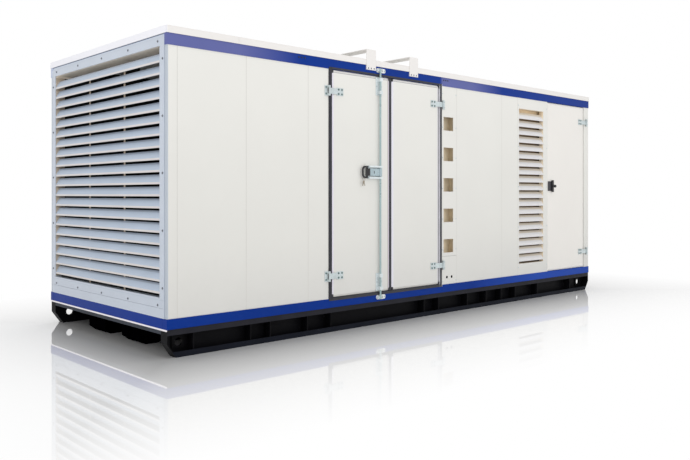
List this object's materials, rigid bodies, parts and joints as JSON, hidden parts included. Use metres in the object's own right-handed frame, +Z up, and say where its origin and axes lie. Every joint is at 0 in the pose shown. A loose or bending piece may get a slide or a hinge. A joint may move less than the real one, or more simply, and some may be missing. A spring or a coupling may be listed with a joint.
{
  "type": "canopied gas generator set",
  "caption": "Sound-proof canopied gas generator set on a skid: hollow panelled enclosure with end louvre, side louvres, hinged double door with lock bar, hinged control door.",
  "frame": {"origin": "middle of the footprint on the floor, halfway along and across the enclosure", "axes": "+X runs along the enclosure away from the radiator louvre, +Z is up, the hinged doors face -Y"},
  "size_m": [6.685, 2.492, 2.821],
  "materials": {
    "panel_white": "semi-gloss powder coat",
    "rail_blue": "gloss paint",
    "louvre_silver": "satin silver",
    "skid_black": "satin black",
    "galvanised": "zinc plated",
    "gasket_rubber": "matt",
    "black_plastic": "matt",
    "duct_beige": "satin"
  },
  "bodies": {
    "enclosure": {"skid_front_runner": "skid_black", "skid_back_runner": "skid_black", "skid_inner_runners": "skid_black", "skid_cross_members": "skid_black", "skid_end_members": "skid_black", "lifting_lugs": "skid_black", "floor_plate": "skid_black", "base_rails": "rail_blue", "top_rails": "rail_blue", "corner_posts": "panel_white", "roof_panels": "panel_white", "roof_flashing": "panel_white", "roof_hoops": "panel_white", "front_wall_left": "panel_white", "front_wall_right": "panel_white", "window_cover": "panel_white", "window_duct": "duct_beige", "cable_entry_panel": "panel_white", "front_louvre_panel": "panel_white", "front_louvre_blades": "panel_white", "end_louvre_frame": "louvre_silver", "end_louvre_blades": "louvre_silver", "end_louvre_mullions": "louvre_silver", "end_trim_panels": "louvre_silver", "right_end_wall": "panel_white", "back_wall": "panel_white", "back_louvre_panel": "panel_white", "back_louvre_blades": "panel_white", "back_door_leaves": "panel_white", "back_door_seals": "gasket_rubber", "back_door_hardware": "galvanised", "door_jamb_gaskets": "gasket_rubber", "door_sill_head_gaskets": "gasket_rubber", "door_stops": "panel_white", "hinge_frame_plates": "galvanised", "lock_keepers": "galvanised"},
    "left_door": {"left_leaf": "panel_white", "left_leaf_seal": "gasket_rubber", "left_hinge_straps": "galvanised", "lock_guides": "galvanised", "lock_case": "galvanised"},
    "lock_bar": {"lock_rod": "galvanised", "lock_lever": "galvanised", "lock_grip": "black_plastic"},
    "right_door": {"right_leaf": "panel_white", "right_hinge_straps": "galvanised"},
    "control_door": {"control_leaf": "panel_white", "control_hinge_straps": "galvanised", "control_latch_plate": "black_plastic"},
    "control_latch": {"control_latch_wing": "black_plastic"}
  },
  "joints": [
    {"name": "left_door_hinge", "type": "hinge", "parent": "enclosure", "child": "left_door", "pos_m": [-1.5855, -1.224, 1.448], "axis": [0, 0, -1], "range_deg": [0, 150]},
    {"name": "lock_bar_turn", "type": "hinge", "parent": "left_door", "child": "lock_bar", "pos_m": [-0.8875, -1.226, 1.568], "axis": [0, 0, 1], "range_deg": [0, 110]},
    {"name": "right_door_hinge", "type": "hinge", "parent": "enclosure", "child": "right_door", "pos_m": [0.1285, -1.224, 1.448], "axis": [0, 0, 1], "range_deg": [0, 150]},
    {"name": "control_door_hinge", "type": "hinge", "parent": "enclosure", "child": "control_door", "pos_m": [3.2575, -1.224, 1.448], "axis": [0, 0, 1], "range_deg": [0, 150]},
    {"name": "control_latch_turn", "type": "hinge", "parent": "control_door", "child": "control_latch", "pos_m": [2.3795, -1.211, 1.452], "axis": [0, -1, 0], "range_deg": [0, 90]}
  ]
}
